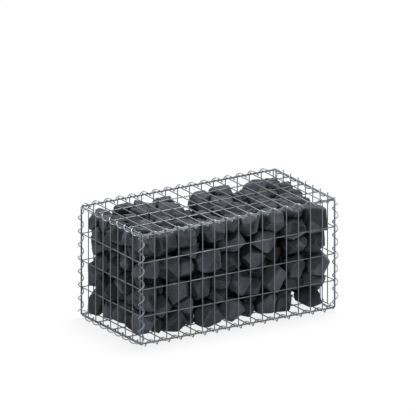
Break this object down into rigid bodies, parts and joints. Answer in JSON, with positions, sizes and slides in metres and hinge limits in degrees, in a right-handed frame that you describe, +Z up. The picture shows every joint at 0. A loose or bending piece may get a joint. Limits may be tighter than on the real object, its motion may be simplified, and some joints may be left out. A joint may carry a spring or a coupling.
{
  "type": "stone-filled gabion basket",
  "caption": "Free-standing welded-mesh gabion basket with lid, laced along every edge with spiral binders and filled with broken dark rock.",
  "frame": {"origin": "middle of the footprint, on the surface that the lowest turns of the base spirals stand on", "axes": "+X along the length, +Y from the front to the back, +Z up"},
  "size_m": [0.833, 0.4334, 0.4309],
  "materials": {
    "galvanised_wire": "satin",
    "broken_basalt": "matte"
  },
  "bodies": {
    "root": {"panel_front": "galvanised_wire", "panel_back": "galvanised_wire", "panel_left": "galvanised_wire", "panel_right": "galvanised_wire", "panel_base": "galvanised_wire", "panel_lid": "galvanised_wire", "corner_spiral_front_left": "galvanised_wire", "corner_spiral_front_right": "galvanised_wire", "corner_spiral_back_left": "galvanised_wire", "corner_spiral_back_right": "galvanised_wire", "base_spiral_front": "galvanised_wire", "base_spiral_back": "galvanised_wire", "base_spiral_left": "galvanised_wire", "base_spiral_right": "galvanised_wire", "lid_spiral_front": "galvanised_wire", "lid_spiral_back": "galvanised_wire", "lid_spiral_left": "galvanised_wire", "lid_spiral_right": "galvanised_wire", "stones_course_1_left": "broken_basalt", "stones_course_1_middle": "broken_basalt", "stones_course_1_right": "broken_basalt", "stones_course_2_left": "broken_basalt", "stones_course_2_middle": "broken_basalt", "stones_course_2_right": "broken_basalt", "stones_course_3_left": "broken_basalt", "stones_course_3_middle": "broken_basalt", "stones_course_3_right": "broken_basalt", "stones_course_4_left": "broken_basalt", "stones_course_4_middle": "broken_basalt", "stones_course_4_right": "broken_basalt", "stones_course_5_left": "broken_basalt", "stones_course_5_middle": "broken_basalt", "stones_course_5_right": "broken_basalt"}
  },
  "joints": []
}
